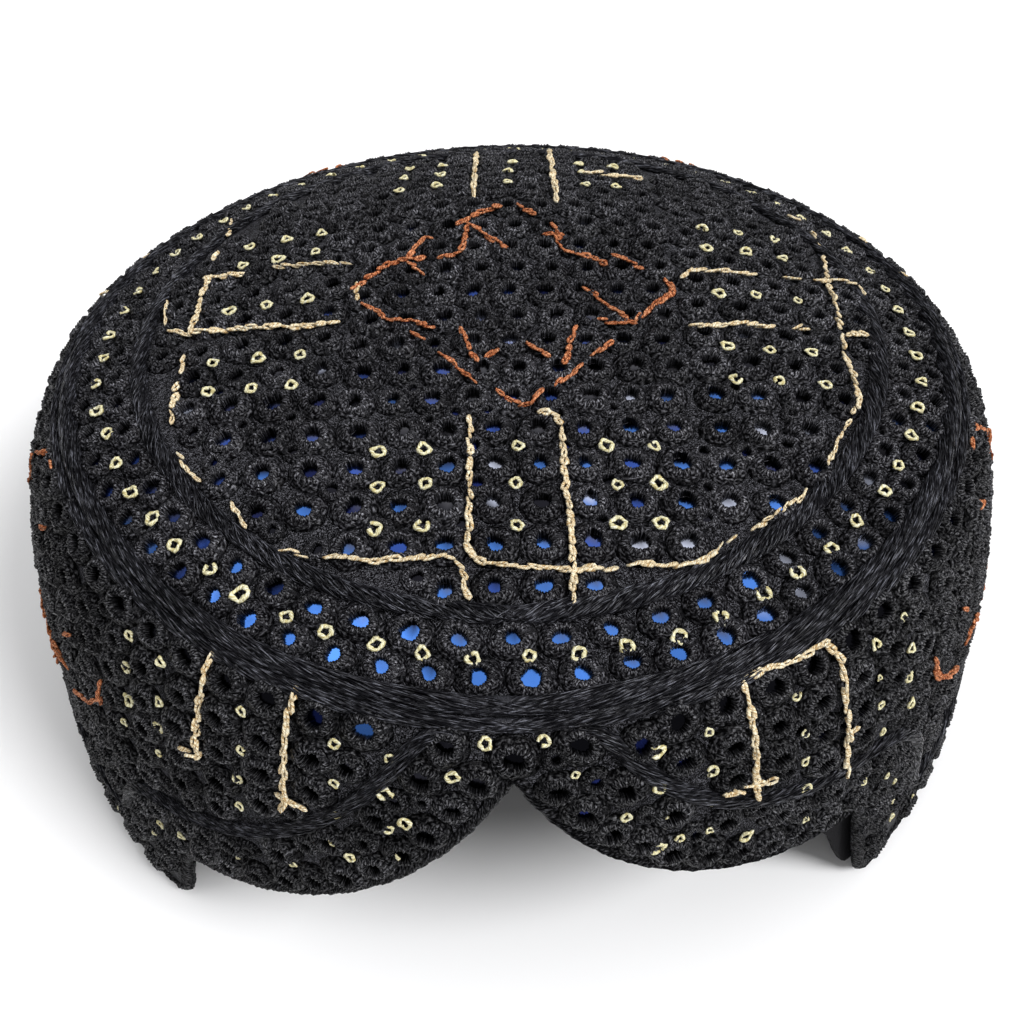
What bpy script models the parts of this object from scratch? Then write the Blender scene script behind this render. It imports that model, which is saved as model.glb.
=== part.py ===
"""Embroidered round cap with an arched opening over the forehead, in metres, +Z up.

The cap stands on its hem on the floor, z = 0. The origin is on the floor under the middle of the
crown. The front faces -Y, and an azimuth is counted from the front, positive towards +X.
"""
import math
from collections import namedtuple

import bmesh
import bpy
import numpy as np

MM = 0.001
GAP = 0.3  # clearance between pieces that touch, mm

ProfilePoint = namedtuple("ProfilePoint", "radius height")
HemPoint = namedtuple("HemPoint", "azimuth height")
Lobe = namedtuple("Lobe", "side depth spread last_angle")
WallRow = namedtuple("WallRow", "length share")

# Driving dimensions, mm and degrees
CLOTH_THICKNESS = 2.0
LINING_THICKNESS = 1.0
LINING_GAP = 0.5
SEAM_GAP = 0.9
LINING_EDGE_INSET = 0.9
CROWN_RADIUS = 73.2
INNER_RING_RADIUS = 61.1
MEAN_BAND_RADIUS = 86.0
EDGE_CORD_DIAMETER = 3.0
BAND_CORD_DIAMETER = 1.8
BORDER_CORD_DIAMETER = 2.2
RING_CORD_DIAMETER = 2.4
HEM_CORD_DIAMETER = 2.6
HEM_CORD_INSET = 0.7
CORD_PITCH = 2.6
BORDER_WIDTH = 15.5
NOTCH_AZIMUTH = 0.1
NOTCH_HEIGHT = 62.3

# The crown has sunk towards the back: by how much at its rim, and from where
SAG = 15.4
SAG_START_RADIUS = 24.6
SAG_START_AZIMUTH = 62.0
SAG_POWER = 1.3
BAND_SAG_POWER = 1.5

# Half section of the outer face, from the middle of the crown to the floor
PROFILE = tuple(ProfilePoint(*row) for row in (
    (0.0, 77.0),
    (20.0, 76.7),
    (40.0, 75.8),
    (56.0, 74.3),
    (66.0, 72.6),
    (72.5, 70.9),
    (75.6, 69.6),
    (78.0, 67.2),
    (80.2, 63.3),
    (83.4, 54.6),
    (86.3, 43.5),
    (88.4, 32.3),
    (90.1, 21.1),
    (92.0, 10.0),
    (93.1, 0.0),
))

# The hem's two front lobes fall away from the notch as depth * (1 - exp(-angle / spread))
LOBES = (
    Lobe(side=-1, depth=53.0, spread=22.0, last_angle=36.0),
    Lobe(side=1, depth=36.0, spread=16.0, last_angle=37.0),
)

# The step beside each lobe, between the floor and the lobe's end
LEFT_STEP = tuple(HemPoint(*row) for row in (
    (-42.5, 0.0),
    (-40.3, 0.3),
    (-39.2, 1.2),
    (-38.5, 3.0),
    (-38.0, 5.5),
    (-37.6, 9.0),
    (-37.2, 12.5),
    (-36.9, 16.2),
))
RIGHT_STEP = tuple(HemPoint(*row) for row in (
    (38.4, 27.0),
    (39.0, 20.0),
    (39.5, 14.0),
    (40.0, 9.0),
    (40.5, 5.0),
    (41.1, 2.4),
    (42.0, 0.9),
    (43.3, 0.2),
    (45.0, 0.0),
))

# The lining's edge cuts across the corner of the right-hand step, where it shows
LINING_CORNER = tuple(HemPoint(*row) for row in (
    (31.5, 33.0),
    (33.5, 28.5),
    (35.5, 23.5),
    (37.2, 17.5),
    (38.4, 11.5),
    (40.0, 5.2),
    (41.3, 2.0),
    (42.8, 1.6),
    (44.2, 2.4),
))

# How finely the shapes are divided
PROFILE_STEPS = 16
HEM_SAMPLES = 1441
LOBE_STEP = 0.5
OFFSET_FAN = 7
OFFSET_KEPT = 0.992
NORMAL_STEP = 0.5
SHARP_ANGLE = 40.0
CROWN_COLUMNS = 60
CROWN_ROWS = (0.0, 0.33, 0.55, 0.74, 0.89)
FRONT_END = 48.0
FRONT_STEP = 3.0
BACK_STEP = 6.0
NOTCH_COLUMNS = (-1.6, -0.8, 0.1, 0.9, 1.6)
STEP_COLUMNS = (-40.8, -40.1, -39.5, -38.4, -37.6, 38.3, 41.0, 41.8, 42.4, 44.2)
RIM_ROWS = (WallRow(0.0, 0.0), WallRow(2.0, 0.28), WallRow(4.4, 0.55), WallRow(8.0, 0.8))
WALL_ROWS = (0.33, 0.66, 1.0)
RIM_CORD_POINTS = 60
RING_CORD_POINTS = 48
BORDER_POINT_SPACING = 4.0
HEM_POINT_SPACING = 3.0
BACK_POINT_SPACING = 8.0

BLACK_THREAD = (0.014, 0.014, 0.017, 1.0)
BLACK_SATIN = (0.02, 0.02, 0.024, 1.0)
DARK_LINING = (0.02, 0.019, 0.021, 1.0)


def clear_scene():
    for obj in list(bpy.data.objects):
        bpy.data.objects.remove(obj, do_unlink=True)


def make_collection():
    collection = bpy.data.collections.new("sindhi_cap")
    bpy.context.scene.collection.children.link(collection)
    return collection


def make_material(name, colour, roughness):
    material = bpy.data.materials.new(name)
    material.use_nodes = True
    shader = material.node_tree.nodes["Principled BSDF"]
    shader.inputs["Base Color"].default_value = colour
    shader.inputs["Roughness"].default_value = roughness
    shader.inputs["Metallic"].default_value = 0.0
    return material


def spline_through(points, steps):
    """Catmull-Rom curve through 2D points, with steps samples in each span."""
    rows = np.array(points, float)
    first = 2.0 * rows[0] - rows[1]
    last = 2.0 * rows[-1] - rows[-2]
    padded = np.vstack([first, rows, last])
    samples = []
    for start in range(len(rows) - 1):
        a, b, c, d = padded[start:start + 4]
        for step in range(steps):
            t = step / steps
            linear = (c - a) * t
            square = (2.0 * a - 5.0 * b + 4.0 * c - d) * t ** 2
            cube = (3.0 * b - a - 3.0 * c + d) * t ** 3
            samples.append(0.5 * (2.0 * b + linear + square + cube))
    samples.append(rows[-1])
    return np.array(samples)


class Profile:
    """The outer face's half section, read by its length from the middle of the crown."""

    def __init__(self):
        self.points = spline_through(PROFILE, PROFILE_STEPS)
        steps = np.linalg.norm(np.diff(self.points, axis=0), axis=1)
        self.length = np.concatenate([[0.0], np.cumsum(steps)])
        self.rim = self.length_at_radius(CROWN_RADIUS)

    def read(self, values, at):
        return np.interp(at, self.length, values)

    def length_at_radius(self, radius):
        return float(np.interp(radius, self.points[:, 0], self.length))

    def length_at_height(self, height):
        return np.interp(-np.asarray(height), -self.points[:, 1], self.length)

    def sag(self, azimuth, at):
        """How far the face has sunk here; the hem stays on the floor."""
        turned = abs((azimuth + 180.0) % 360.0 - 180.0)
        backward = min(1.0, max(0.0, (turned - SAG_START_AZIMUTH) / (180.0 - SAG_START_AZIMUTH)))
        if at < self.rim:
            reach = self.read(self.points[:, 0], at) - SAG_START_RADIUS
            share = max(0.0, reach / (CROWN_RADIUS - SAG_START_RADIUS)) ** SAG_POWER
        else:
            share = self.read(self.points[:, 1], at) / self.read(self.points[:, 1], self.rim)
            share = share ** BAND_SAG_POWER
        return SAG * share * math.sin(backward * math.pi / 2.0) ** SAG_POWER

    def point(self, azimuth, at):
        """The point of the outer face at this azimuth and profile length, in mm."""
        radius = self.read(self.points[:, 0], at)
        height = self.read(self.points[:, 1], at) - self.sag(azimuth, at)
        angle = math.radians(azimuth)
        return np.array([radius * math.sin(angle), -radius * math.cos(angle), height])

    def place(self, azimuth, at, outward):
        """A point of the outer face, moved outward along its normal, in mm."""
        near = max(at, NORMAL_STEP)
        around = self.point(azimuth + NORMAL_STEP, near) - self.point(azimuth - NORMAL_STEP, near)
        down = self.point(azimuth, near + NORMAL_STEP) - self.point(azimuth, near - NORMAL_STEP)
        normal = np.cross(down, around)
        return self.point(azimuth, at) + normal / np.linalg.norm(normal) * outward


def hem_heights():
    """The hem's lower edge all round, as azimuths and heights."""
    rows = [HemPoint(-180.0, 0.0)]
    rows += LEFT_STEP
    for lobe in LOBES:
        angles = np.linspace(0.0, lobe.last_angle, round(lobe.last_angle / LOBE_STEP) + 1)
        if lobe.side < 0:
            angles = angles[::-1]
        for angle in angles:
            height = NOTCH_HEIGHT - lobe.depth * (1.0 - math.exp(-angle / lobe.spread))
            rows.append(HemPoint(NOTCH_AZIMUTH + lobe.side * angle, height))
    rows += RIGHT_STEP
    rows += [HemPoint(180.0, 0.0)]
    azimuth, height = np.array(rows).T
    dense = np.linspace(-180.0, 180.0, HEM_SAMPLES)
    dense = np.unique(np.concatenate([dense, azimuth]))
    return dense, np.interp(dense, azimuth, height)


def hem_offset(profile, distance):
    """The line that runs this far inside the hem, as azimuths and profile lengths."""
    azimuth, height = hem_heights()
    scale = math.radians(1.0) * MEAN_BAND_RADIUS
    line = np.stack([azimuth * scale, profile.length_at_height(height)], axis=1)
    along = np.diff(line, axis=0)
    along /= np.linalg.norm(along, axis=1)[:, None]
    normals = np.stack([along[:, 1], -along[:, 0]], axis=1)
    before = np.vstack([normals[:1], normals])
    after = np.vstack([normals, normals[-1:]])
    fans = []
    for blend in np.linspace(0.0, 1.0, OFFSET_FAN):
        mixed = before * (1.0 - blend) + after * blend
        mixed /= np.linalg.norm(mixed, axis=1)[:, None]
        fans.append(line + mixed * distance)
    moved = np.stack(fans, axis=1).reshape(-1, 2)
    nearest = np.full(len(moved), np.inf)
    for point in line[::2]:
        nearest = np.minimum(nearest, np.linalg.norm(moved - point, axis=1))
    kept = moved[nearest > distance * OFFSET_KEPT]
    return kept[:, 0] / scale, kept[:, 1]


def edge_lookup(profile, distance):
    """A function from azimuth to the profile length of the line inside the hem."""
    azimuth, at = hem_offset(profile, distance)
    order = np.argsort(azimuth, kind="stable")
    azimuth = azimuth[order]
    at = at[order]

    def read(angle):
        return float(np.interp(angle, azimuth, at))

    return read


def column_azimuths():
    """Columns of the band and lining: close together over the front, more so at the steps."""
    right = np.arange(FRONT_STEP + 1.0, FRONT_END + 0.1, FRONT_STEP)
    left = np.arange(-FRONT_END, -FRONT_STEP, FRONT_STEP)
    back = np.arange(FRONT_END + BACK_STEP, 360.0 - FRONT_END - BACK_STEP + 0.1, BACK_STEP)
    return np.sort(np.concatenate([left, NOTCH_COLUMNS, right, back, STEP_COLUMNS]))


def signed_azimuth(azimuth):
    return azimuth - 360.0 if azimuth > 180.0 else azimuth


def wall_levels(start, end):
    """Profile lengths of one column's rows, close together round the crown's rim."""
    span = end - start
    levels = [start + min(row.length, row.share * span) for row in RIM_ROWS]
    last = levels[-1]
    for share in WALL_ROWS:
        levels.append(last + (end - last) * share)
    return levels


def lofted_sheet(name, columns, with_pole):
    """A closed round sheet from its columns of points, each given from the top down."""
    mesh = bpy.data.meshes.new(name)
    build = bmesh.new()
    grid = []
    pole = None
    if with_pole:
        pole = build.verts.new([value * MM for value in columns[0][0]])
    for column in columns:
        points = column[1:] if with_pole else column
        grid.append([build.verts.new([value * MM for value in point]) for point in points])
    count = len(grid)
    for index in range(count):
        here = grid[index]
        there = grid[(index + 1) % count]
        if with_pole:
            build.faces.new((pole, here[0], there[0]))
        for row in range(len(here) - 1):
            build.faces.new((here[row], here[row + 1], there[row + 1], there[row]))
    build.normal_update()
    build.to_mesh(mesh)
    build.free()
    mesh.shade_smooth()
    mesh.set_sharp_from_angle(angle=math.radians(SHARP_ANGLE))
    return bpy.data.objects.new(name, mesh)


def add_thickness(obj, thickness):
    solidify = obj.modifiers.new("thickness", "SOLIDIFY")
    solidify.thickness = thickness * MM
    solidify.offset = -1.0
    solidify.use_even_offset = True


def make_crown(profile):
    """The top: a low dome, flat in front and sunk behind, as far as the rim's seam."""
    columns = []
    for azimuth in np.linspace(0.0, 360.0, CROWN_COLUMNS, endpoint=False):
        levels = [profile.rim * share for share in CROWN_ROWS + (1.0,)]
        columns.append([profile.place(azimuth, level, 0.0) for level in levels])
    crown = lofted_sheet("crown", columns, True)
    add_thickness(crown, CLOTH_THICKNESS)
    return crown


def make_side_band(profile):
    """The wall below the crown, from the rim's seam to just above the hem's cord."""
    start = profile.rim + SEAM_GAP
    edge = edge_lookup(profile, HEM_CORD_DIAMETER + GAP)
    columns = []
    for azimuth in column_azimuths():
        levels = wall_levels(start, edge(signed_azimuth(azimuth)))
        columns.append([profile.place(azimuth, level, 0.0) for level in levels])
    band = lofted_sheet("side_band", columns, False)
    add_thickness(band, CLOTH_THICKNESS)
    return band


def make_lining(profile):
    """The plain inner cloth, which follows the crown and the band from inside."""
    depth = CLOTH_THICKNESS + LINING_GAP
    seam = profile.rim + GAP
    edge = edge_lookup(profile, HEM_CORD_DIAMETER + GAP + LINING_EDGE_INSET)
    corner_azimuth, corner_height = np.array(LINING_CORNER).T
    corner_length = profile.length_at_height(corner_height)
    columns = []
    for azimuth in column_azimuths():
        angle = signed_azimuth(azimuth)
        end = edge(angle)
        if corner_azimuth[0] <= angle <= corner_azimuth[-1]:
            end = max(end, float(np.interp(angle, corner_azimuth, corner_length)))
        levels = [seam * share for share in CROWN_ROWS]
        levels += wall_levels(seam, end)
        columns.append([profile.place(azimuth, level, -depth) for level in levels])
    lining = lofted_sheet("lining", columns, True)
    add_thickness(lining, LINING_THICKNESS)
    return lining


def make_cord(name, points, diameter, closed):
    curve = bpy.data.curves.new(name, "CURVE")
    curve.dimensions = "3D"
    curve.bevel_depth = diameter / 2.0 * MM
    curve.bevel_resolution = 1
    curve.use_fill_caps = True
    spline = curve.splines.new("POLY")
    spline.points.add(len(points) - 1)
    for target, point in zip(spline.points, points):
        target.co = (point[0] * MM, point[1] * MM, point[2] * MM, 1.0)
    spline.use_cyclic_u = closed
    spline.use_smooth = True
    return bpy.data.objects.new(name, curve)


def make_round_cord(profile, name, at, diameter, count):
    """A cord that lies on the outer face all the way round."""
    outward = diameter / 2.0 + GAP
    turns = np.linspace(0.0, 360.0, count, endpoint=False)
    points = [profile.place(azimuth, at, outward) for azimuth in turns]
    return make_cord(name, points, diameter, True)


def even_points(azimuth, at, front_spacing):
    """Thins a dense line to points a set distance apart, closer over the front."""
    scale = math.radians(1.0) * MEAN_BAND_RADIUS
    chosen = [(azimuth[0], at[0])]
    for angle, length in zip(azimuth[1:], at[1:]):
        run = math.hypot((angle - chosen[-1][0]) * scale, length - chosen[-1][1])
        spacing = front_spacing if abs(angle) < FRONT_END else BACK_POINT_SPACING
        if run >= spacing:
            chosen.append((angle, length))
    return chosen


def make_border_cord(profile):
    """The cord above the hem's border, from one side of the notch round the back to the other."""
    top = profile.rim + CORD_PITCH + BAND_CORD_DIAMETER + 2.0 * GAP
    azimuth, at = hem_offset(profile, BORDER_WIDTH)
    left = azimuth < 0.0
    below = at > top
    right_run = even_points(azimuth[below & ~left], at[below & ~left], BORDER_POINT_SPACING)
    left_run = even_points(azimuth[below & left], at[below & left], BORDER_POINT_SPACING)
    outward = BORDER_CORD_DIAMETER / 2.0 + GAP
    route = right_run[:-1] + left_run
    points = [profile.place(angle, length, outward) for angle, length in route]
    return make_cord("border_cord", points, BORDER_CORD_DIAMETER, False)


def make_hem_cord(profile):
    """The rolled binding along the hem, which the cap stands on."""
    azimuth, at = hem_offset(profile, HEM_CORD_DIAMETER / 2.0)
    route = even_points(azimuth, at, HEM_POINT_SPACING)
    points = [profile.place(angle, length, -HEM_CORD_INSET) for angle, length in route[:-1]]
    return make_cord("hem_cord", points, HEM_CORD_DIAMETER, True)


def main():
    clear_scene()
    collection = make_collection()
    profile = Profile()
    rim = profile.rim
    ring = profile.length_at_radius(INNER_RING_RADIUS)
    embroidery = make_material("embroidered_cloth", BLACK_THREAD, 0.62)
    satin = make_material("satin_cord", BLACK_SATIN, 0.42)
    cotton = make_material("plain_lining", DARK_LINING, 0.85)
    round_cords = (
        ("crown_edge_cord", rim, EDGE_CORD_DIAMETER, RIM_CORD_POINTS),
        ("band_top_cord", rim + CORD_PITCH, BAND_CORD_DIAMETER, RIM_CORD_POINTS),
        ("inner_ring_cord", ring, RING_CORD_DIAMETER, RING_CORD_POINTS),
    )
    pieces = [(make_round_cord(profile, *cord), satin) for cord in round_cords]
    pieces += (
        (make_crown(profile), embroidery),
        (make_side_band(profile), embroidery),
        (make_lining(profile), cotton),
        (make_border_cord(profile), satin),
        (make_hem_cord(profile), satin),
    )
    for obj, material in pieces:
        obj.data.materials.append(material)
        collection.objects.link(obj)


main()
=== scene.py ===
import copy
import math

import bpy
import numpy as np
from mathutils import Matrix, Vector
from mathutils.kdtree import KDTree


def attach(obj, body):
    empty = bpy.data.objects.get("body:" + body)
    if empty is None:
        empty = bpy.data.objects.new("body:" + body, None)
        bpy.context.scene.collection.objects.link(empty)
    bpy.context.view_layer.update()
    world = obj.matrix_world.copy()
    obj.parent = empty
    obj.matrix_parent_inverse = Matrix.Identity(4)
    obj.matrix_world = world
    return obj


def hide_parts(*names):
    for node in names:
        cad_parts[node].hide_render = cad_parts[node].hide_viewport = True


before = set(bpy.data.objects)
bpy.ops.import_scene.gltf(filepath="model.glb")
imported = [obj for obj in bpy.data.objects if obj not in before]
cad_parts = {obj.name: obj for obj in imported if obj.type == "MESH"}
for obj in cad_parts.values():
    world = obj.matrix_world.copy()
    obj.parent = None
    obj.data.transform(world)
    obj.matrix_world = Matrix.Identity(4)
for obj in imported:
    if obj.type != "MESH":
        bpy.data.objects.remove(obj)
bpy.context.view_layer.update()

# Lengths are in mm and angles in degrees, counted from the front (-Y) towards +X
MM = 0.001
RNG = np.random.default_rng(7)

# The cap's own sizes, as in the construction; the half section is radius and height
PROFILE = (
    (0.0, 77.0),
    (20.0, 76.7),
    (40.0, 75.8),
    (56.0, 74.3),
    (66.0, 72.6),
    (72.5, 70.9),
    (75.6, 69.6),
    (78.0, 67.2),
    (80.2, 63.3),
    (83.4, 54.6),
    (86.3, 43.5),
    (88.4, 32.3),
    (90.1, 21.1),
    (92.0, 10.0),
    (93.1, 0.0),
)
CLOTH_THICKNESS = 2.0
CROWN_RADIUS = 73.2
INNER_RING_RADIUS = 61.1
MEAN_BAND_RADIUS = 86.0
RIM_RADIUS = 74.5
HEM_CORD_DIAMETER = 2.6
HEM_CORD_INSET = 0.7
CORD_PITCH = 2.6
BORDER_WIDTH = 15.5
NOTCH_AZIMUTH = 0.1
NOTCH_HEIGHT = 62.3
SAG = 15.4
SAG_START_RADIUS = 24.6
SAG_START_AZIMUTH = 62.0
SAG_POWER = 1.3
BAND_SAG_POWER = 1.5
# The scallops: side, depth, spread and last angle from the notch
LOBES = (
    (-1, 53.0, 22.0, 36.0),
    (1, 36.0, 16.0, 37.0),
)
# Where the hem comes down to the floor on each side: azimuth and height
LEFT_STEP = (
    (-42.5, 0.0),
    (-40.3, 0.3),
    (-39.2, 1.2),
    (-38.5, 3.0),
    (-38.0, 5.5),
    (-37.6, 9.0),
    (-37.2, 12.5),
    (-36.9, 16.2),
)
RIGHT_STEP = (
    (38.4, 27.0),
    (39.0, 20.0),
    (39.5, 14.0),
    (40.0, 9.0),
    (40.5, 5.0),
    (41.1, 2.4),
    (42.0, 0.9),
    (43.3, 0.2),
    (45.0, 0.0),
)

# Embroidery
PITCH = 6.75
BLOCK_PITCH = 6.0
ROW_PITCH = 6.15
COLUMN_STEP = 5.1
PATTERN_YAW = 0.4
PATTERN_SHIFT = (0.9, 0.0)
MOTIF_SHIFT = 1.0
CREAM_CENTRES = (28.0, 110.0)
STAR_CENTRES = (69.0, 151.0)
FIRST_ROW = 4.9
LAST_ROW = 54.0
STAR_ROW = 26.0
EYELET_RADIUS = 3.55
HOLE_RADIUS = 1.12
STITCHES = 17
EYELET_HEIGHT = 1.35
LINK_LENGTH = 1.5
LINK_WIDTH = 1.02
LINK_THREAD = 0.52
RING_RADIUS = 0.77
RING_THREAD = 0.6
FILLER_CLEARANCE = 3.6
FILLER_FULL_GAP = 6.4
BORDER_MEETS_RIM = 3.0
BORDER_BLEND = 1.6
NOTCH_HALF_GAP = 1.5
MEDALLION_MARGIN = 2.2
BLOCK_STAGGER = 0.22
RIM_CLEARANCE = 4.0
EYELET_TO_BORDER = 3.6
BACK_STEP = 4.6
HEM_EYELET_ROWS = (4.9, 11.6)
HEM_EYELET_CLEARANCE = 5.4
HEM_LOOP_ROW = 8.3
HEM_LOOP_PITCH = 7.2
HEM_LOOP_CLEARANCE = 6.4
BORDER_LOOPS = 63
BORDER_LOOP_RADIUS = 67.5
FRONT_AZIMUTH = 28.0
CROWN_FILLER_TRIES = 900
BAND_FILLER_TRIES = 2600
FILLER_EDGE = 3.2
FILLER_TO_BORDER = 2.0
FILLER_ROWS = (4.5, 57.0)
SIDES = (-1.0, 1.0)


def spline_through(points, steps):
    """Catmull-Rom curve through points, with steps samples in each span."""
    rows = np.array(points, float)
    padded = np.vstack([2.0 * rows[0] - rows[1], rows, 2.0 * rows[-1] - rows[-2]])
    samples = []
    for start in range(len(rows) - 1):
        a, b, c, d = padded[start:start + 4]
        for step in range(steps):
            t = step / steps
            linear = (c - a) * t
            square = (2.0 * a - 5.0 * b + 4.0 * c - d) * t ** 2
            cube = (3.0 * b - a - 3.0 * c + d) * t ** 3
            samples.append(0.5 * (2.0 * b + linear + square + cube))
    samples.append(rows[-1])
    return np.array(samples)


def unit(vectors):
    return vectors / np.linalg.norm(vectors, axis=-1, keepdims=True)


def run_length(points):
    """How far along a line each of its points lies."""
    steps = np.linalg.norm(np.diff(points, axis=0), axis=1)
    return np.concatenate([[0.0], np.cumsum(steps)])


def read_line(wanted, length, rows):
    """What the rows of a line say at the wanted lengths."""
    return np.stack([np.interp(wanted, length, column) for column in rows.T], axis=-1)


def side_and_up(path, normals, closed):
    """Unit vectors across a line and out of it, square to the way that it runs."""
    if closed:
        along = unit(np.roll(path, -1, axis=0) - np.roll(path, 1, axis=0))
    else:
        along = unit(np.gradient(path, axis=0))
    side = unit(np.cross(along, normals))
    return side, np.cross(side, along)


def rotated(points, angle):
    x, y = np.asarray(points, float).T
    cosine, sine = math.cos(angle), math.sin(angle)
    return np.stack([x * cosine - y * sine, x * sine + y * cosine], axis=1)


class Surface:
    """The cap's outer face: a point is an azimuth and a length down the half section."""

    def __init__(self):
        self.points = spline_through(PROFILE, 16)
        self.length = run_length(self.points)
        self.rim = float(self.at_radius(CROWN_RADIUS))

    def radius(self, at):
        return np.interp(at, self.length, self.points[:, 0])

    def height(self, at):
        return np.interp(at, self.length, self.points[:, 1])

    def at_radius(self, radius):
        return np.interp(radius, self.points[:, 0], self.length)

    def at_height(self, height):
        return np.interp(-np.asarray(height), -self.points[:, 1], self.length)

    def sag(self, azimuth, at):
        """How far the face has sunk here; the hem stays on the floor."""
        turned = np.abs((azimuth + 180.0) % 360.0 - 180.0)
        backward = np.clip((turned - SAG_START_AZIMUTH) / (180.0 - SAG_START_AZIMUTH), 0.0, 1.0)
        reach = (self.radius(at) - SAG_START_RADIUS) / (CROWN_RADIUS - SAG_START_RADIUS)
        crown = np.clip(reach, 0.0, 1.0) ** SAG_POWER
        band = (self.height(at) / self.height(self.rim)) ** BAND_SAG_POWER
        share = np.where(at < self.rim, crown, band)
        return SAG * share * np.sin(backward * math.pi / 2.0) ** SAG_POWER

    def point(self, azimuth, at):
        angle = np.radians(azimuth)
        radius = self.radius(at)
        height = self.height(at) - self.sag(azimuth, at)
        return np.stack([radius * np.sin(angle), -radius * np.cos(angle), height], axis=-1)

    def slopes(self, azimuth, at):
        """How a point moves with a degree round the cap and with a mm down the section."""
        step = 0.5
        near = np.maximum(at, step)
        around = self.point(azimuth + step, near) - self.point(azimuth - step, near)
        return around, self.point(azimuth, near + step) - self.point(azimuth, near - step)

    def axes(self, azimuth, at):
        """Unit vectors round the cap, down the section and out of the cloth."""
        around, down = self.slopes(azimuth, at)
        return unit(around), unit(down), unit(np.cross(down, around))

    def place(self, azimuth, at, outward=0.0):
        azimuth, at = np.broadcast_arrays(np.asarray(azimuth, float), np.asarray(at, float))
        out = self.axes(azimuth, at)[2]
        return self.point(azimuth, at) + out * np.asarray(outward, float)[..., None]


SURFACE = Surface()
SCALE = math.radians(1.0) * MEAN_BAND_RADIUS


def hem_line():
    """The hem's lower edge all round, as azimuths and profile lengths."""
    rows = [(-180.0, 0.0)]
    rows += LEFT_STEP
    for side, depth, spread, last_angle in LOBES:
        for angle in np.arange(0.0, last_angle + 0.01, 0.5)[::side]:
            height = NOTCH_HEIGHT - depth * (1.0 - math.exp(-angle / spread))
            rows.append((NOTCH_AZIMUTH + side * angle, height))
    rows += RIGHT_STEP
    rows += [(180.0, 0.0)]
    azimuth, height = np.array(rows).T
    dense = np.unique(np.concatenate([np.linspace(-180.0, 180.0, 1441), azimuth]))
    return dense, SURFACE.at_height(np.interp(dense, azimuth, height))


HEM_AZIMUTH, HEM_AT = hem_line()
HEM_FLAT = np.stack([HEM_AZIMUTH * SCALE, HEM_AT], axis=1)


def nearest_hem(points):
    """How far points of the unrolled cloth lie from the hem."""
    nearest = np.full(len(points), np.inf)
    for edge in HEM_FLAT[::2]:
        nearest = np.minimum(nearest, np.linalg.norm(points - edge, axis=1))
    return nearest


def hem_distance(azimuth, at):
    """How far inside the hem points lie; outside it the distance is negative."""
    points = np.stack([azimuth * SCALE, at], axis=1)
    nearest = nearest_hem(points)
    inside = points[:, 1] < np.interp(points[:, 0], HEM_FLAT[:, 0], HEM_FLAT[:, 1])
    return np.where(inside, nearest, -nearest)


def hem_offset(distance):
    """The line that runs this far inside the hem, as azimuths and profile lengths."""
    along = unit(np.diff(HEM_FLAT, axis=0))
    normals = np.stack([along[:, 1], -along[:, 0]], axis=1)
    before = np.vstack([normals[:1], normals])
    after = np.vstack([normals, normals[-1:]])
    fans = [
        HEM_FLAT + unit(before * (1.0 - share) + after * share) * distance
        for share in np.linspace(0.0, 1.0, 7)
    ]
    moved = np.stack(fans, axis=1).reshape(-1, 2)
    kept = moved[nearest_hem(moved) > distance * 0.992]
    return kept[:, 0] / SCALE, kept[:, 1]


def flat_line(azimuth, at, spacing):
    """Points a set distance apart along a line on the unrolled cloth."""
    line = walk(np.stack([azimuth * SCALE, at], axis=1), spacing)
    return line[:, 0] / SCALE, line[:, 1]


def walk(points, spacing):
    """Points a set distance apart along a line, in any number of dimensions."""
    length = run_length(points)
    count = max(2, int(round(length[-1] / spacing)) + 1)
    return read_line(np.linspace(0.0, length[-1], count), length, points)


def smooth(points, width):
    """A moving average that takes the corners off a line."""
    kernel = np.hanning(width + 2)[1:-1]
    kernel /= kernel.sum()
    half = width // 2
    padded = np.pad(points, ((half, half), (0, 0)), mode="edge")
    return np.stack([np.convolve(column, kernel, mode="valid") for column in padded.T], axis=1)


def make_piece(name, data, material, slot, *nodes):
    """A piece of the cap from arrays in mm: vertices, faces with the same corners, uvs, and colours of
    painted light, which are painted shade on eyelets and painted reflections on mirrors.
    """
    verts, faces, uvs, painted_light_colours = (*data, None, None)[:4]
    mesh = bpy.data.meshes.new(name)
    corners = faces.shape[1]
    mesh.vertices.add(len(verts))
    mesh.vertices.foreach_set("co", (verts * MM).astype(np.float32).ravel())
    mesh.loops.add(faces.size)
    mesh.loops.foreach_set("vertex_index", faces.astype(np.int32).ravel())
    mesh.polygons.add(len(faces))
    mesh.polygons.foreach_set("loop_start", np.arange(0, faces.size, corners, dtype=np.int32))
    mesh.update(calc_edges=True)
    if uvs is not None:
        layer = mesh.uv_layers.new(name="thread")
        layer.data.foreach_set("uv", uvs[faces.ravel()].astype(np.float32).ravel())
    # The colour attribute carries painted light: painted shade on eyelets, painted reflections on mirrors
    if painted_light_colours is not None:
        colours = mesh.color_attributes.new(name="painted_light", type="FLOAT_COLOR", domain="POINT")
        colours.data.foreach_set("color", painted_light_colours.astype(np.float32).ravel())
    mesh.shade_smooth()
    mesh.materials.append(material)
    piece = bpy.data.objects.new(name, mesh)
    bpy.context.scene.collection.objects.link(piece)
    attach(piece, "root")
    if nodes:
        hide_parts(*nodes)


def merged(parts):
    """Joins (verts, faces, uvs) arrays into one set."""
    verts, faces, uvs = zip(*parts)
    starts = np.cumsum([0] + [len(part) for part in verts[:-1]])
    faces = [part + start for part, start in zip(faces, starts)]
    return np.vstack(verts), np.vstack(faces), np.vstack(uvs)


def ring_faces(rows, count):
    """Quads between rows that are rings of count points."""
    row, column = np.meshgrid(np.arange(rows - 1), np.arange(count), indexing="ij")
    here = row * count + column
    there = row * count + (column + 1) % count
    return np.stack([here, there, there + count, here + count], axis=-1).reshape(-1, 4)


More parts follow.
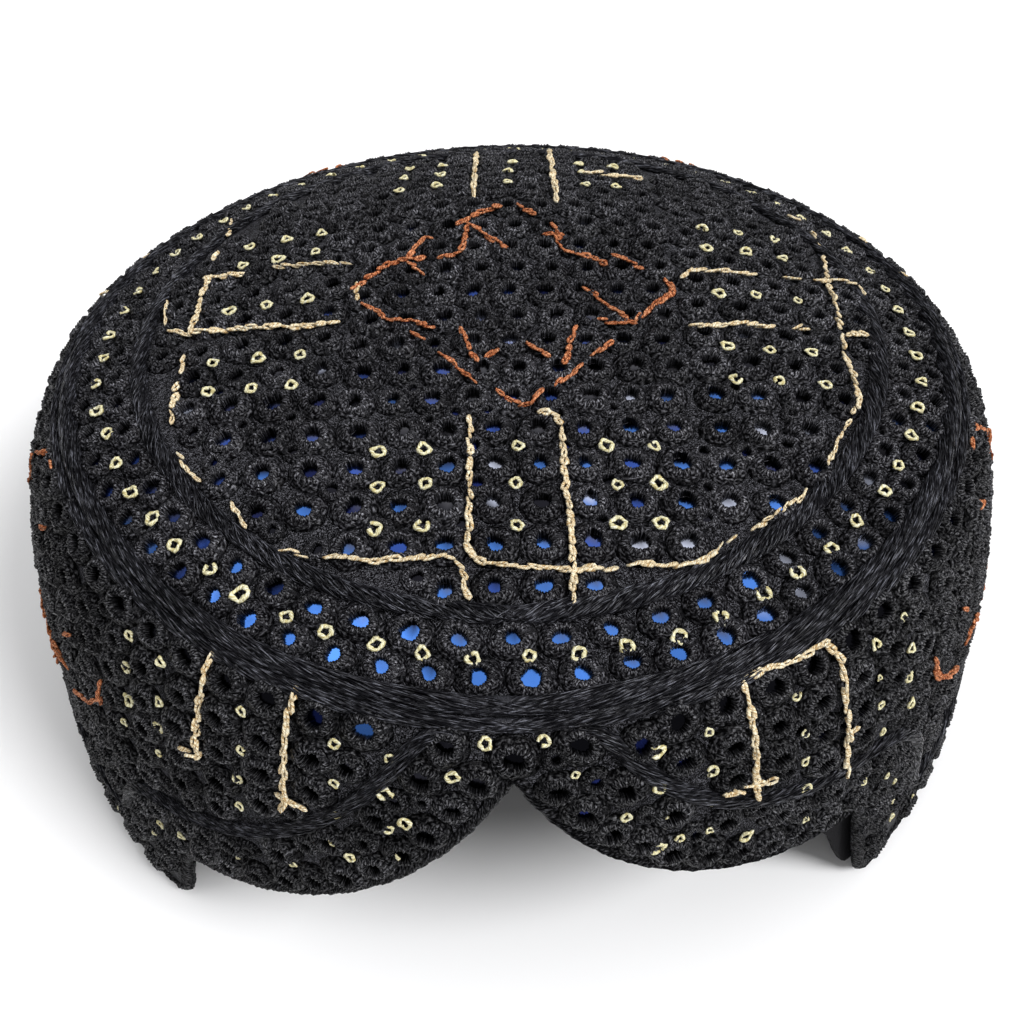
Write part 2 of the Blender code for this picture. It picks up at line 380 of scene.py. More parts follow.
def tube(path, normals, radius, sides, closed, flat, slant):
    """A tube along path; flat squeezes it along the normal, slant leans its fibres."""
    side, up = side_and_up(path, normals, closed)
    angle = np.linspace(0.0, math.tau, sides, endpoint=False)
    radius = np.broadcast_to(radius, (len(path),))
    across = np.cos(angle)[None, :, None] * side[:, None, :]
    upward = np.sin(angle)[None, :, None] * up[:, None, :] * flat
    verts = (path[:, None, :] + (across + upward) * radius[:, None, None]).reshape(-1, 3)
    rows = len(path) + 1 if closed else len(path)
    faces = ring_faces(rows, sides) % len(verts)
    length = run_length(path)
    around = np.abs(np.linspace(-1.0, 1.0, sides, endpoint=False)) * 2.0
    u = around[None, :] * radius[:, None] * math.pi / 2.0 + slant * length[:, None]
    v = np.repeat(length[:, None], sides, axis=1)
    return verts, faces[:, ::-1], np.stack([u.ravel(), v.ravel()], axis=1)


class Track:
    """A line on the cloth, read by its length: where it runs, its side, its up and its azimuth."""

    def __init__(self, azimuth, at, lift, closed=False):
        path = SURFACE.place(azimuth, at, lift)
        side, up = side_and_up(path, SURFACE.axes(azimuth, at)[2], closed)
        rows = np.hstack([path, side, up, np.sin(np.radians(azimuth))[:, None]])
        self.rows = np.vstack([rows, rows[:1]]) if closed else rows
        self.length = run_length(self.rows[:, :3])
        self.whole = self.length[-1]
        self.closed = closed

    def read(self, at):
        wanted = at % self.whole if self.closed else np.clip(at, 0.0, self.whole)
        values = read_line(wanted, self.length, self.rows)
        return values[:, :3], values[:, 3:6], values[:, 6:9], values[:, 9]


def floss_roll(track, half_width, half_height, crossing, pitch, thick, points=12, stray=0.16):
    """Fine fibres that slant over a low mound, each from one edge of it to the other."""
    steps = np.linspace(0.0, track.whole, int(track.whole / 2.2), endpoint=not track.closed)
    centre, _, up, _ = track.read(steps)
    flat = (half_height - 0.4) / (half_width - 0.3)
    parts = [tube(centre, up, half_width - 0.3, 8, track.closed, flat, 0.6)]
    share = np.linspace(0.0, 1.0, points)
    for index in range(int(track.whole / pitch)):
        middle = (index + RNG.uniform(0.0, 1.0)) * pitch
        reach = crossing * RNG.uniform(0.6, 1.3)
        centre, side, up, facing = track.read(middle + reach * (share - 0.5))
        lean = 1.0 if facing.mean() > 0.0 else -1.0
        turn = math.pi * share + RNG.normal(0.0, 0.08)
        across = lean * np.cos(turn) * half_width + stray * np.sin(share * RNG.uniform(6.0, 14.0))
        rise = np.sin(turn) * half_height * RNG.uniform(0.9, 1.08)
        path = centre + side * across[:, None] + up * rise[:, None]
        radius = thick * RNG.uniform(0.6, 1.3) * np.maximum(np.sin(math.pi * share), 0.02) ** 0.35
        verts, faces, uvs = tube(path, up, radius, 3, False, 0.9, 0.1)
        parts.append((verts, faces, uvs + RNG.uniform(0.0, 90.0, 2)))
    return merged(parts)


# Where the eyelets sit

def crown_spots(points):
    """Pattern points on the crown, in mm, as azimuths and profile lengths."""
    x, y = (rotated(points, math.radians(PATTERN_YAW)) + PATTERN_SHIFT).T
    return np.degrees(np.arctan2(x, -y)), SURFACE.at_radius(np.hypot(x, y))


def medallion_points():
    """The crown's square grid of eyelets, with a tighter block of 9 by 9 in the middle."""
    reach = INNER_RING_RADIUS - MEDALLION_MARGIN
    points = []
    for column in range(-9, 9):
        for row in range(-9, 9):
            x, y = (column + 0.5) * PITCH, (row + 0.5) * PITCH
            outside_block = max(abs(x), abs(y)) > 4.0 * PITCH
            if outside_block and math.hypot(x, y) < reach:
                points.append((x, y))
    for column in range(-4, 5):
        for row in range(-4, 5):
            stagger = BLOCK_STAGGER * BLOCK_PITCH if row % 2 else -BLOCK_STAGGER * BLOCK_PITCH
            points.append((column * BLOCK_PITCH + stagger * 0.5, row * BLOCK_PITCH))
    return np.array(points)


# The crown's border: radius, how many eyelets, and how far round they are shifted
CROWN_BORDER_ROWS = (
    (64.9, 60, 0.0),
    (70.0, 66, 0.4),
)


def crown_border_spots():
    azimuth, at = [], []
    for radius, count, phase in CROWN_BORDER_ROWS:
        azimuth.append((np.arange(count) + phase) * 360.0 / count)
        at.append(np.full(count, SURFACE.at_radius(radius)))
    return np.concatenate(azimuth), np.concatenate(at)


def band_columns():
    """Azimuths of the eyelet columns on the side band, motif by motif."""
    steps = np.arange(-3.5, 4.0, 1.0) * COLUMN_STEP
    columns = []
    for side in SIDES:
        for centre in CREAM_CENTRES + STAR_CENTRES:
            columns.append(MOTIF_SHIFT + side * (centre + steps))
    columns.append(180.0 + MOTIF_SHIFT + np.arange(-1.5, 2.0, 1.0) * BACK_STEP)
    return (np.concatenate(columns) + 180.0) % 360.0 - 180.0


def band_spots():
    rows = np.arange(FIRST_ROW, LAST_ROW, ROW_PITCH) + SURFACE.rim
    azimuth, at = np.meshgrid(band_columns(), rows, indexing="ij")
    azimuth, at = azimuth.ravel(), at.ravel()
    clear = hem_distance(azimuth, at) > BORDER_WIDTH + EYELET_TO_BORDER
    return azimuth[clear], at[clear]


def border_runs(distance, spacing):
    """Even spots inside the hem, on each side of the notch, that keep clear of the crown's rim."""
    azimuth, at = hem_offset(distance)
    clear = at > SURFACE.rim + RIM_CLEARANCE
    runs = []
    for half in (azimuth < NOTCH_AZIMUTH, azimuth >= NOTCH_AZIMUTH):
        runs.append(flat_line(azimuth[half & clear], at[half & clear], spacing))
    return np.concatenate(runs, axis=1)


# Small templates, in mm, that are stamped many times

# Half sections of an eyelet: radius, height, depth of the stitches, roughness, painted lightness, painted
# contrast
# The lightness paints shade at the hole's wall and in the gaps between eyelets, and light on the ring's top;
# the contrast paints the stitches lighter than the grooves between them
STITCH_ROWS = (
    (HOLE_RADIUS, -0.35, 0.0, 0.0, 0.3, 0.4),
    (HOLE_RADIUS + 0.05, 0.85, 0.05, 0.03, 0.45, 0.5),
    (HOLE_RADIUS + 0.38, EYELET_HEIGHT, 0.14, 0.05, 0.95, 0.5),
    (HOLE_RADIUS + 0.95, 1.25, 0.18, 0.08, 1.35, 0.45),
    (2.5, 0.82, 0.1, 0.12, 0.9, 0.3),
)
ROUND_ROWS = (
    (2.5, 0.82, 0.1, 0.1, 0.9, 0.3),
    (2.98, 0.55, 0.0, 0.18, 0.75, 0.0),
    (EYELET_RADIUS, -0.12, 0.0, 0.0, 0.1, 0.0),
)
TEETH = np.where(np.arange(2 * STITCHES) % 2 == 0, 1.0, -1.0)


def wave(angle, turns, size):
    """A wave round a ring, which starts anywhere."""
    return size * np.cos(turns * angle + RNG.uniform(0.0, 6.0))


def eyelet_templates(count):
    """Rings of radial buttonhole stitches round a hole, with looser rounds of thread outside."""
    segments = 2 * STITCHES
    templates = []
    for _ in range(count):
        steps = RNG.uniform(0.7, 1.3, segments)
        angle = np.cumsum(steps) / steps.sum() * math.tau
        oval = 1.0 + 0.13 * np.cos(2.0 * angle - RNG.uniform(0.0, math.tau))
        oval += 0.07 * np.cos(3.0 * angle - RNG.uniform(0.0, math.tau))
        oval *= RNG.uniform(0.78, 1.2)
        bend = wave(angle, 2.0, 0.12) + wave(angle, 5.0, 0.08)
        halves = []
        for rows in (STITCH_ROWS, ROUND_ROWS):
            verts, uvs = [], []
            for radius, height, groove, rough, _, _ in rows:
                if radius < HOLE_RADIUS + 0.3:
                    reach = radius * oval - 0.07 * TEETH + RNG.normal(0.0, 0.02, segments)
                else:
                    reach = radius + bend + RNG.normal(0.0, 0.05, segments)
                level = height + groove * TEETH + RNG.normal(0.0, 1.0, segments) * rough
                verts.append(np.stack([reach * np.cos(angle), reach * np.sin(angle), level], axis=1))
                if rows is STITCH_ROWS:
                    uvs.append(np.stack([angle * 2.6, reach], axis=1))
                else:
                    uvs.append(np.stack([reach, angle * 1.8], axis=1))
            halves.append((np.vstack(verts), ring_faces(len(rows), segments), np.vstack(uvs)))
        templates.append(merged(halves))
    return templates


def eyelet_painted_shade():
    """Painted light and shade on each vertex of an eyelet: its stitches lighter, the gaps between them and
    between the eyelets darker.
    """
    rows = [row[4] * (1.0 + row[5] * TEETH) for row in STITCH_ROWS + ROUND_ROWS]
    return np.concatenate(rows)


def mirror_template():
    corners = 14
    angle = np.linspace(0.0, math.tau, corners, endpoint=False)
    radius = HOLE_RADIUS + 0.25
    verts = np.stack([radius * np.cos(angle), radius * np.sin(angle), np.zeros(corners)], axis=1)
    return verts, np.arange(corners)[None, :], verts[:, :2].copy()


def loop_templates(count):
    """Small loops of cream thread, drawn squarish or three-cornered; some stay open."""
    segments = 14
    normals = np.tile([0.0, 0.0, 1.0], (segments, 1))
    templates = []
    for index in range(count):
        closed = index % 5 != 2
        sweep = math.tau if closed else RNG.uniform(4.8, 5.6)
        angle = np.linspace(0.0, sweep, segments, endpoint=not closed)
        corners = (4, 4, 3, 4, 5)[index % 5]
        turn = RNG.uniform(0.0, math.tau)
        shape = 1.0 + 0.13 * np.cos(corners * (angle - turn))
        radius = RING_RADIUS * (shape + 0.14 * np.cos(angle - RNG.uniform(0.0, 6.0)))
        rise = wave(angle, 2.0, 0.14)
        x, y = radius * np.cos(angle), radius * np.sin(angle) * RNG.uniform(0.75, 1.25)
        thick = RING_THREAD * 0.5 * (1.0 + wave(angle, 3.0, 0.25))
        templates.append(tube(np.stack([x, y, rise], axis=1), normals, thick, 5, closed, 0.8, 1.2))
    return templates


def link_templates(count):
    """One chain stitch: a nearly closed teardrop loop of thread, lying along +X."""
    segments = 8
    angle = np.linspace(0.0, math.tau, segments, endpoint=False)
    normals = np.tile([0.0, 0.0, 1.0], (segments, 1))
    teardrop = (LINK_WIDTH - LINK_THREAD) * 0.5 * np.sin(angle) * (1.0 + 0.45 * np.cos(angle))
    templates = []
    for _ in range(count):
        x = 0.5 * LINK_LENGTH * RNG.uniform(1.15, 1.4) * np.cos(angle)
        y = teardrop * RNG.uniform(0.75, 1.15)
        z = 0.16 * np.cos(angle) + 0.1 * np.sin(angle) * RNG.normal()
        thick = LINK_THREAD * 0.5 * (1.0 + wave(angle, 2.0, 0.15))
        templates.append(tube(np.stack([x, y, z], axis=1), normals, thick, 5, True, 0.9, 1.5))
    return templates


def stamp(templates, origin, x_axis, y_axis, normal, size=1.0):
    """Copies a template to each spot; a spot's size is one number, or across, along and up."""
    count = len(origin)
    size = np.asarray(size, float)
    if size.ndim < 2:
        size = np.broadcast_to(size.reshape(-1, 1), (count, 3))
    pick = RNG.integers(0, len(templates), count)
    parts = []
    for index, (verts, faces, uvs) in enumerate(templates):
        chosen = np.nonzero(pick == index)[0]
        if len(chosen) == 0:
            continue
        axes = np.stack([x_axis[chosen], y_axis[chosen], normal[chosen]], axis=1)
        local = verts[None, :, :] * size[chosen][:, None, :]
        placed = np.einsum("kvi,kij->kvj", local, axes) + origin[chosen][:, None, :]
        copied = faces + (np.arange(len(chosen)) * len(verts))[:, None, None]
        slid = uvs + RNG.uniform(0.0, 50.0, (len(chosen), 1, 2))
        parts.append((placed.reshape(-1, 3), copied.reshape(-1, faces.shape[1]), slid.reshape(-1, 2)))
    return merged(parts)


class Spots:
    """Places on the cloth, their axes, the size of what sits there and how the sag squeezes it."""

    def __init__(self, azimuth, at, jitter=0.15, lift=0.0, size=1.0, spread=0.05):
        count = len(azimuth)
        radius = np.maximum(SURFACE.radius(at), 20.0)
        self.azimuth = azimuth + np.degrees(RNG.normal(0.0, jitter, count) / radius)
        self.at = np.abs(at + RNG.normal(0.0, jitter, count))
        self.origin = SURFACE.place(self.azimuth, self.at, lift)
        self.around, down, self.normal = SURFACE.axes(self.azimuth, self.at)
        self.down = -down
        self.size = size * RNG.normal(1.0, spread, count)
        self.squash = np.linalg.norm(SURFACE.slopes(self.azimuth, self.at)[1], axis=1)

    def turned(self, angle):
        """The two axes in the cloth, turned by an angle about the normal."""
        cosine, sine = np.cos(angle)[:, None], np.sin(angle)[:, None]
        return self.around * cosine + self.down * sine, self.down * cosine - self.around * sine

    def where(self, chosen):
        """The same spots, but only the chosen ones."""
        part = copy.copy(self)
        for name, values in vars(self).items():
            setattr(part, name, values[chosen])
        return part


# Materials

class Shading:
    """A new material, with the kinds of node that the materials share."""

    def __init__(self, name):
        self.material = bpy.data.materials.new(name)
        self.material.use_nodes = True
        self.nodes, self.links = self.material.node_tree.nodes, self.material.node_tree.links
        self.shader = self.nodes["Principled BSDF"]

    def add(self, kind, constants, sources, **settings):
        """A node, with the constants and the sources that its inputs have."""
        node = self.nodes.new("ShaderNode" + kind)
        for name, value in settings.items():
            setattr(node, name, value)
        for socket, value in constants.items():
            node.inputs[socket].default_value = value
        for socket, source in sources.items():
            self.links.new(source, node.inputs[socket])
        return node

    def noise(self, vector, scale, detail, distortion=0.0):
        constants = {"Scale": scale, "Detail": detail, "Distortion": distortion}
        return self.add("TexNoise", constants, {"Vector": vector}).outputs["Fac"]

    def ramp(self, value, positions, colours):
        node = self.add("ValToRGB", {}, {"Fac": value})
        elements = node.color_ramp.elements
        while len(elements) < len(positions):
            elements.new(0.5)
        for element, position, colour in zip(elements, positions, colours):
            element.position = position
            element.color = (*colour, 1.0)
        return node.outputs["Color"]

    def multiplied(self, first, second):
        kind = {"data_type": "RGBA", "blend_type": "MULTIPLY"}
        return self.add("Mix", {"Factor": 1.0}, {"A": first, "B": second}, **kind).outputs["Result"]

    def place(self):
        return self.add("TexCoord", {}, {}).outputs["Object"]

    # The colour attribute of painted light: painted shade on eyelets, painted reflections on mirrors
    def painted_light(self):
        return self.add("VertexColor", {}, {}, layer_name="painted_light").outputs["Color"]

    def bump(self, height, strength, distance):
        relief = self.add("Bump", {"Strength": strength, "Distance": distance * MM}, {"Height": height})
        self.links.new(relief.outputs["Normal"], self.shader.inputs["Normal"])


FLECK_SCALE = 2600.0
PATCH_SCALE = 150.0
MIRROR_HAZE_SCALE = 700.0


def thread_material(name, shade_colour_glint, roughness, gloss, fibre, bump, fleck, uneven=0.4, shaded=False):
    """Spun thread: fine fibres along the thread's own direction; the dark fibres are painted shade and the
    bright ones painted glints on the thread's own colour.
    """
    shading = Shading(name)
    shader, links = shading.shader, shading.links
    place = shading.place()
    uv = shading.add("UVMap", {}, {}, uv_map="thread").outputs["UV"]
    along = shading.add("Mapping", {"Scale": (*fibre, 1.0)}, {"Vector": uv})
    fibres = shading.noise(along.outputs["Vector"], 1.0, 1.0)
    flecks = shading.noise(place, FLECK_SCALE, 1.0, 1.2)
    patches = shading.noise(place, PATCH_SCALE, 1.0)
    # Three colours: painted shade between the fibres, the thread's own colour, and painted glints on them
    colour = shading.ramp(fibres, (0.4, 0.54, 0.72), shade_colour_glint)
    for noise, start, end, depth in ((flecks, 0.42, 0.58, fleck), (patches, 0.38, 0.62, uneven)):
        darker = shading.ramp(noise, (start, end), ((1.0 - depth,) * 3, (1.0,) * 3))
        colour = shading.multiplied(colour, darker)
    limits = {"From Min": 0.45, "From Max": 0.65, "To Min": 0.02, "To Max": gloss}
    shine = shading.add("MapRange", limits, {"Value": fibres}).outputs["Result"]
    # Shaded threads take the eyelets' painted shade and light, on their colour and on their specular
    if shaded:
        painted_light = shading.painted_light()
        colour = shading.multiplied(colour, painted_light)
        shine = shading.add("Math", {}, {0: shine, 1: painted_light}, operation="MULTIPLY").outputs["Value"]
    links.new(colour, shader.inputs["Base Color"])
    links.new(shine, shader.inputs["Specular IOR Level"])
    shader.inputs["Roughness"].default_value = roughness
    height = shading.add("Math", {}, {0: fibres, 1: flecks}, operation="ADD")
    shading.bump(height.outputs["Value"], bump, 0.2)
    return shading.material


def cloth_material(name, shade_colour_glint, scale, bump, roughness):
    """Ground cloth, covered in short stitches that run every way."""
    shading = Shading(name)
    stitches = shading.noise(shading.place(), scale, 1.5, 2.4)
    colour = shading.ramp(stitches, (0.42, 0.51, 0.64), shade_colour_glint)
    shading.links.new(colour, shading.shader.inputs["Base Color"])
    shading.shader.inputs["Roughness"].default_value = roughness
    shading.shader.inputs["Specular IOR Level"].default_value = 0.05
    shading.bump(stitches, bump, 0.3)
    return shading.material


def mirror_material():
    """Small pieces of silvered glass; the colour attribute holds a painted reflection, the colour of what
    each one would show, which tints what the metal really reflects.
    """
    shading = Shading("mirror_glass")
    shading.links.new(shading.painted_light(), shading.shader.inputs["Base Color"])
    shading.shader.inputs["Metallic"].default_value = 1.0
    haze = shading.noise(shading.place(), MIRROR_HAZE_SCALE, 2.0)
    rough = shading.ramp(haze, (0.35, 0.7), ((0.08,) * 3, (0.22,) * 3))
    shading.links.new(rough, shading.shader.inputs["Roughness"])
    return shading.material


# Each thread's colours run from painted shade, through the thread's own colour, to painted glints or
# highlights
BLACK = thread_material(
    "black_thread", ((0.004, 0.004, 0.005), (0.03, 0.0295, 0.034), (0.175, 0.175, 0.2)),
    0.42, 0.32, (3.8, 2.6), 0.7, 0.55, shaded=True)
# A darker copy of the black thread, used on the band: painted shade, since the band faces away from the light
BLACK_BAND_PAINTED_SHADE = thread_material(
    "black_thread_painted_band_shade", ((0.003, 0.003, 0.0038), (0.019, 0.0188, 0.0215), (0.125, 0.125, 0.14)),
    0.42, 0.4, (3.8, 2.6), 0.7, 0.55, shaded=True)
SATIN = thread_material(
    "black_satin_floss", ((0.01, 0.01, 0.0125), (0.025, 0.025, 0.03), (0.18, 0.185, 0.225)),
    0.36, 0.4, (2.5, 0.5), 0.3, 0.45)
HEM = thread_material(
    "black_hem_thread", ((0.0015, 0.0015, 0.002), (0.009, 0.009, 0.011), (0.1, 0.1, 0.115)),
    0.5, 0.2, (3.0, 1.4), 0.8, 0.7)
CREAM = thread_material(
    "cream_thread", ((0.55, 0.47, 0.22), (0.88, 0.84, 0.55), (0.97, 0.95, 0.78)),
    0.6, 0.2, (3.0, 1.2), 0.6, 0.25, 0.1)
CHAIN = thread_material(
    "cream_chain_thread", ((0.5, 0.33, 0.15), (0.95, 0.82, 0.56), (0.98, 0.95, 0.8)),
    0.6, 0.2, (3.0, 1.2), 0.6, 0.25, 0.1)
RUST = thread_material(
    "rust_chain_thread", ((0.18, 0.04, 0.015), (0.68, 0.24, 0.1), (0.95, 0.5, 0.28)),
    0.6, 0.2, (3.0, 1.2), 0.6, 0.4, 0.15)
# The cloth's darkest colour is painted shade between its stitches and its brightest painted glints on them
CLOTH = cloth_material(
    "black_stitched_cloth", ((0.001, 0.001, 0.0015), (0.006, 0.006, 0.007), (0.11, 0.11, 0.125)),
    2300.0, 1.0, 0.55)
LINING = cloth_material(
    "plain_dark_lining", ((0.006, 0.006, 0.007), (0.008, 0.008, 0.009), (0.012, 0.011, 0.013)),
    2500.0, 0.15, 0.8)
MIRROR = mirror_material()


# Building the pieces

def cloth_wall(name, azimuths, starts, ends, rows, node):
    """A cloth wall with its thickness, finer than the solid that it stands for."""
    levels = [starts + (ends - starts) * share for share in np.linspace(0.0, 1.0, rows)]
    outer = [SURFACE.place(azimuths, level) for level in levels]
    inner = [SURFACE.place(azimuths, level, -CLOTH_THICKNESS) for level in levels]
    verts = np.vstack(outer + inner[::-1])
    faces = ring_faces(2 * rows + 1, len(azimuths)) % len(verts)
    make_piece(name, (verts, faces[:, ::-1]), CLOTH, "embroidered_cloth", node)


def make_cloth():
    turn = np.linspace(-180.0, 180.0, 180, endpoint=False)
    cloth_wall("crown_cloth", turn, 0.4, SURFACE.rim, 16, "crown")
    turn = np.linspace(-180.0, 180.0, 360, endpoint=False)
    azimuth, at = hem_offset(HEM_CORD_DIAMETER * 0.7)
    order = np.argsort(azimuth, kind="stable")
    end = np.interp(turn, azimuth[order], at[order])
    cloth_wall("band_cloth", turn, SURFACE.rim + 0.3, end, 12, "side_band")


def make_cords():
    """Couched rolls of satin floss, each in place of its plain cord."""
    turn = np.linspace(0.0, 360.0, 360, endpoint=False)
    rim, ring = SURFACE.rim, float(SURFACE.at_radius(INNER_RING_RADIUS))
    below = rim + CORD_PITCH * 0.9
    # Piece, node, level, and what floss_roll takes
    rounds = (
        ("crown_edge_roll", "crown_edge_cord", rim, (1.45, 1.6, 26.0, 0.65, 0.11)),
        ("band_top_roll", "band_top_cord", below, (1.05, 0.9, 22.0, 0.9, 0.11)),
        ("inner_ring_roll", "inner_ring_cord", ring, (1.5, 0.9, 11.0, 0.38, 0.13, 9, 0.25)),
    )
    for name, node, level, shape in rounds:
        track = Track(turn, np.full(len(turn), level), 0.35, True)
        make_piece(name, floss_roll(track, *shape), SATIN, "satin_cord", node)
    make_border_roll()
    make_hem_roll()


def make_border_roll():
    """The roll above the border; over the notch it runs into the rim's roll."""
    azimuth, at = hem_offset(BORDER_WIDTH)
    floor = SURFACE.rim + BORDER_MEETS_RIM
    at = floor + BORDER_BLEND * np.logaddexp(0.0, (at - floor) / BORDER_BLEND)
    right, left = azimuth > NOTCH_HALF_GAP, azimuth < -NOTCH_HALF_GAP
    route_azimuth = np.concatenate([azimuth[right], azimuth[left] + 360.0])
    route_at = np.concatenate([at[right], at[left]])
    line = smooth(np.stack(flat_line(route_azimuth, route_at, 1.4), axis=1), 7)
    track = Track(line[:, 0], line[:, 1], 0.3)
    data = floss_roll(track, 1.25, 1.0, 20.0, 0.85, 0.11)
    make_piece("border_roll", data, SATIN, "satin_cord", "border_cord")


def make_hem_roll():
    around, level = flat_line(*hem_offset(HEM_CORD_DIAMETER * 0.5), 1.2)
    around, level = around[:-1], level[:-1]
    path = SURFACE.place(around, level, -HEM_CORD_INSET)
    normal = SURFACE.axes(around, level)[2]
    data = strand_bundle(path, normal, HEM_CORD_DIAMETER * 0.5, 9, 11.0)
    make_piece("hem_roll", data, HEM, "satin_cord", "hem_cord")


def strand_bundle(path, normals, radius, strands, lay):
    """A closed roll of strands that wind slowly round a common core."""
    side, up = side_and_up(path, normals, True)
    length = run_length(np.vstack([path, path[:1]]))
    whole, length = length[-1], length[:-1]
    winding = math.tau * max(1, round(whole / lay)) * length / whole
    strand = radius * 0.36
    parts = []
    for index in range(strands):
        phase = winding + math.tau * (index + RNG.uniform(-0.2, 0.2)) / strands
        wobble = 1.0 + 0.12 * np.sin(length * RNG.uniform(0.5, 1.5) + RNG.uniform(0.0, 6.0))
        outward = side * np.cos(phase)[:, None] + up * np.sin(phase)[:, None]
        reach = outward * ((radius - strand) * wobble)[:, None]
        verts, faces, uvs = tube(path + reach, up, strand, 4, True, 1.0, 0.45)
        parts.append((verts, faces, uvs + RNG.uniform(0.0, 90.0, 2)))
    return merged(parts)


def make_eyelets(name, spots, material, across, along):
    """Stitched rings on every spot, as one mesh."""
    count = len(spots.azimuth)
    x_axis, y_axis = spots.turned(RNG.uniform(-0.3, 0.3, count))
    tall = np.clip(spots.size, 0.7, 1.1)
    size = np.stack([spots.size * across, spots.size * along * spots.squash, tall], axis=1)
    data = stamp(EYELETS, spots.origin, x_axis, y_axis, spots.normal, size)
    # Painted shade and light on the eyelet's stitches and gaps, times a random tone for each eyelet
    shade = eyelet_painted_shade()[None, :] * RNG.uniform(0.7, 1.3, (count, 1))
    painted_light_colours = np.repeat(shade.reshape(-1, 1), 4, axis=1)
    make_piece(name, (*data, painted_light_colours), material, "embroidered_cloth")


def make_mirrors(name, spots, painted_light_colours, tilt, painted_far_wall=None):
    """One disc of glass in each eyelet, tilted a little by the stitches that hold it; its colour is a painted
    reflection, and on crown mirrors the back part gets painted shade from the hole's far wall.
    """
    count = len(spots.azimuth)
    lean = unit(spots.normal + RNG.normal(0.0, tilt, (count, 3)))
    x_axis = unit(np.cross(spots.down, lean))
    y_axis = np.cross(lean, x_axis)
    origin = spots.origin + spots.normal * 0.12
    verts, faces, uvs = stamp([mirror_template()], origin, x_axis, y_axis, lean)
    corners = len(verts) // count
    colours = np.repeat(painted_light_colours[:, None, :], corners, axis=1)
    # Painted shade: the back part of each crown mirror takes the colour of the hole's dark far wall, more of
    # it on mirrors further back
    if painted_far_wall is not None:
        backward = (verts.reshape(count, corners, 3) - origin[:, None, :])[:, :, 1] / HOLE_RADIUS
        front = -spots.origin[:, 1] / RIM_RADIUS
        edge = RNG.normal(0.05 + 1.1 * np.clip(front, 0.0, 1.0), 0.3)
        share = np.clip(0.5 + 2.0 * (backward - edge[:, None]), 0.0, 1.0)[:, :, None]
        colours = colours * (1.0 - share) + painted_far_wall[:, None, :] * share
    colours = np.concatenate([colours, np.ones((count, corners, 1))], axis=2).reshape(-1, 4)
    make_piece(name, (verts, faces, uvs, colours), MIRROR, "mirror")


def mix_painted_reflections(count, choices, weights):
    """Picks one painted reflection colour for each mirror, with a little variation."""
    picked = RNG.choice(len(choices), count, p=np.array(weights) / sum(weights))
    base = np.array(choices)[picked]
    return np.clip(base * RNG.uniform(0.8, 1.15, (count, 1)), 0.0, 1.0)


# Painted reflections: the colours that the mirrors are given for what each one would show; SHADE is painted
# shade
PAINTED_SKY = (0.055, 0.165, 0.52)
PAINTED_HAZE = (0.035, 0.08, 0.34)
PAINTED_PALE = (0.45, 0.48, 0.6)
PAINTED_NAVY = (0.01, 0.016, 0.08)
SHADE = (0.012, 0.012, 0.016)
PAINTED_WALL_GREY = (0.07, 0.07, 0.078)


def crown_painted_reflections(spots, threshold):
    """Painted reflections: sky blue is painted on the mirrors near the front, and those behind mostly get
    painted shade.
    """
    count = len(spots.azimuth)
    front = -spots.origin[:, 1] / RIM_RADIUS
    sky_reflection = mix_painted_reflections(count, (PAINTED_SKY, PAINTED_HAZE, PAINTED_NAVY), (14, 1, 1))
    violet_reflection = mix_painted_reflections(count, (PAINTED_HAZE, PAINTED_SKY, PAINTED_PALE), (7, 3, 1))
    sky_reflection = np.where((RNG.uniform(0.35, 0.85, count) < front)[:, None], sky_reflection, violet_reflection)
    dusk_reflection = mix_painted_reflections(count, (PAINTED_NAVY, SHADE, PAINTED_HAZE, PAINTED_PALE), (5, 5, 2, 1))
    share = np.clip((front - threshold + 0.35) / 0.5, 0.03, 0.94)
    return np.where((RNG.uniform(0.0, 1.0, count) < share)[:, None], sky_reflection, dusk_reflection)


EYELETS = eyelet_templates(8)
LOOPS = loop_templates(10)
LINKS = link_templates(6)


def filler_spots(azimuth, at, groups):
    """Smaller eyelets for the gaps that the regular rows leave."""
    centres = [origin for group in groups for origin in group.origin]
    chosen, sizes = [], []
    for index, point in enumerate(SURFACE.place(azimuth, at)):
        nearest = np.linalg.norm(np.array(centres) - point, axis=1).min()
        if nearest > FILLER_CLEARANCE:
            centres.append(point)
            chosen.append(index)
            sizes.append(min(1.0, nearest / FILLER_FULL_GAP))
    return Spots(azimuth[chosen], at[chosen], 0.0, 0.0, np.array(sizes))


def apart(azimuth, at, clearance):
    """Leaves out each spot that lies too near to one before it."""
    points = SURFACE.place(azimuth, at)
    kept = []
    for index, point in enumerate(points):
        if not kept or np.linalg.norm(points[kept] - point, axis=1).min() > clearance:
            kept.append(index)
    return azimuth[kept], at[kept]


# How high an eyelet stands at each distance from its middle
PILE_REACH = (
    0.0, HOLE_RADIUS - 0.1, HOLE_RADIUS + 0.3, HOLE_RADIUS + 0.9, EYELET_RADIUS - 0.7, EYELET_RADIUS)
PILE_LEVELS = (0.6, 1.05, 1.3, 1.25, 0.95, 0.7)


class PileHeight:
    """How high the eyelets stand under a point, so that stitches lie over them."""

    def __init__(self, groups):
        centres = np.vstack([group.origin for group in groups])
        self.tree = KDTree(len(centres))
        for index, centre in enumerate(centres):
            self.tree.insert(centre, index)
        self.tree.balance()

    def at(self, point):
        distance = self.tree.find(point)[2]
        return float(np.interp(distance, PILE_REACH, PILE_LEVELS))


